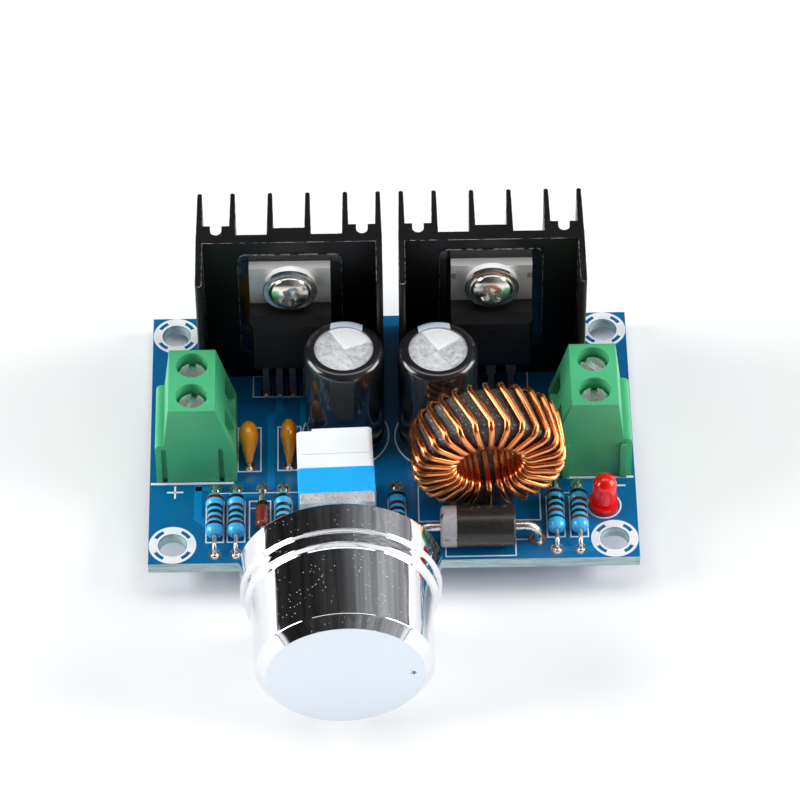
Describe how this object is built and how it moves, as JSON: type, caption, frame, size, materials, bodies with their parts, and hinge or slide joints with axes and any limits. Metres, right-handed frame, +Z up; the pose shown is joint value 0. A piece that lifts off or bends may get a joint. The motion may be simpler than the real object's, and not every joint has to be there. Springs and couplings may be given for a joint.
{
  "type": "step-down converter module",
  "caption": "Through-hole step-down converter board with finned heatsinks, screw terminals, wound choke and a chromed control knob.",
  "frame": {"origin": "centre of the four mounting holes, on the underside of the board", "axes": "+Z up through the board, +Y towards the heatsinks, +X to the right with the knob at the front"},
  "size_m": [0.061, 0.0636, 0.0313],
  "materials": {
    "board": "blue solder mask on laminate",
    "solder": "soft bright solder",
    "black_anodised": "black anodised, satin",
    "tinned": "tinned copper, satin",
    "tab_metal": "plated copper, matt",
    "moulding": "black moulding compound",
    "sheet": "translucent sheet",
    "nylon": "natural white",
    "screw_steel": "bright plated",
    "block_green": "slightly translucent green",
    "clamp_steel": "nickel plated",
    "can": "bright drawn",
    "sleeve": "black shrunk sleeve",
    "core": "black coating with grey specks",
    "copper": "enamelled copper, glossy",
    "diode_black": "black with a grey band",
    "glass_red": "amber glass",
    "resistor_blue": "light blue lacquer with bands",
    "dipped_orange": "dipped ochre coating",
    "lens_red": "red diffused",
    "zinc": "zinc plated",
    "control_blue": "sky blue",
    "control_white": "white",
    "knob_chrome": "bright chromium on plastic"
  },
  "bodies": {
    "module": {"board": "board", "solder_joints": "solder", "heatsink_left": "black_anodised", "heatsink_right": "black_anodised", "heatsink_pins": "tinned", "regulator_tab": "tab_metal", "regulator_body": "moulding", "regulator_leads": "tinned", "rectifier_tab": "tab_metal", "rectifier_body": "moulding", "rectifier_leads": "tinned", "insulator_left": "sheet", "insulator_right": "sheet", "insulating_bushes": "nylon", "tab_washers": "screw_steel", "tab_screws": "screw_steel", "terminal_left_housing": "block_green", "terminal_left_contacts": "tinned", "terminal_right_housing": "block_green", "terminal_right_contacts": "tinned", "capacitor_left_can": "can", "capacitor_left_sleeve": "sleeve", "capacitor_right_can": "can", "capacitor_right_sleeve": "sleeve", "capacitor_leads": "tinned", "choke_core": "core", "choke_winding": "copper", "power_diode_body": "diode_black", "power_diode_leads": "tinned", "glass_diode_body": "glass_red", "glass_diode_leads": "tinned", "resistor_1": "resistor_blue", "resistor_2": "resistor_blue", "resistor_3": "resistor_blue", "resistor_4": "resistor_blue", "resistor_5": "resistor_blue", "resistor_6": "resistor_blue", "resistor_leads": "tinned", "dipped_capacitor_left": "dipped_orange", "dipped_capacitor_right": "dipped_orange", "dipped_capacitor_leads": "tinned", "lamp_lens": "lens_red", "lamp_leads": "tinned", "control_plate": "zinc", "control_wafer": "control_blue", "control_switch_front": "control_white", "control_switch_rear": "control_white", "control_pins": "tinned"},
    "knob": {"knob": "knob_chrome", "control_shaft": "zinc"},
    "left_rear_screw": {"terminal_left_screw_rear": "clamp_steel"},
    "left_rear_clamp": {"terminal_left_clamp_rear": "clamp_steel"},
    "left_front_screw": {"terminal_left_screw_front": "clamp_steel"},
    "left_front_clamp": {"terminal_left_clamp_front": "clamp_steel"},
    "right_rear_screw": {"terminal_right_screw_rear": "clamp_steel"},
    "right_rear_clamp": {"terminal_right_clamp_rear": "clamp_steel"},
    "right_front_screw": {"terminal_right_screw_front": "clamp_steel"},
    "right_front_clamp": {"terminal_right_clamp_front": "clamp_steel"}
  },
  "joints": [
    {"name": "knob_turn", "type": "hinge", "parent": "module", "child": "knob", "pos_m": [-0.00684, -0.02024, 0.00809], "axis": [0.0314, -0.9981, -0.0523], "range_deg": [0, 290]},
    {"name": "left_rear_screw_turn", "type": "hinge", "parent": "module", "child": "left_rear_screw", "pos_m": [-0.0248, 0.00041, 0.0116], "axis": [0, 0, -1], "range_deg": [0, 1440]},
    {"name": "left_rear_clamp_slide", "type": "slide", "parent": "module", "child": "left_rear_clamp", "axis": [0, 0, 1], "range_m": [0, 0.002]},
    {"name": "left_front_screw_turn", "type": "hinge", "parent": "module", "child": "left_front_screw", "pos_m": [-0.0248, -0.00467, 0.0116], "axis": [0, 0, -1], "range_deg": [0, 1440]},
    {"name": "left_front_clamp_slide", "type": "slide", "parent": "module", "child": "left_front_clamp", "axis": [0, 0, 1], "range_m": [0, 0.002]},
    {"name": "right_rear_screw_turn", "type": "hinge", "parent": "module", "child": "right_rear_screw", "pos_m": [0.0252, 0.00041, 0.0116], "axis": [0, 0, -1], "range_deg": [0, 1440]},
    {"name": "right_rear_clamp_slide", "type": "slide", "parent": "module", "child": "right_rear_clamp", "axis": [0, 0, 1], "range_m": [0, 0.002]},
    {"name": "right_front_screw_turn", "type": "hinge", "parent": "module", "child": "right_front_screw", "pos_m": [0.0252, -0.00467, 0.0116], "axis": [0, 0, -1], "range_deg": [0, 1440]},
    {"name": "right_front_clamp_slide", "type": "slide", "parent": "module", "child": "right_front_clamp", "axis": [0, 0, 1], "range_m": [0, 0.002]}
  ]
}
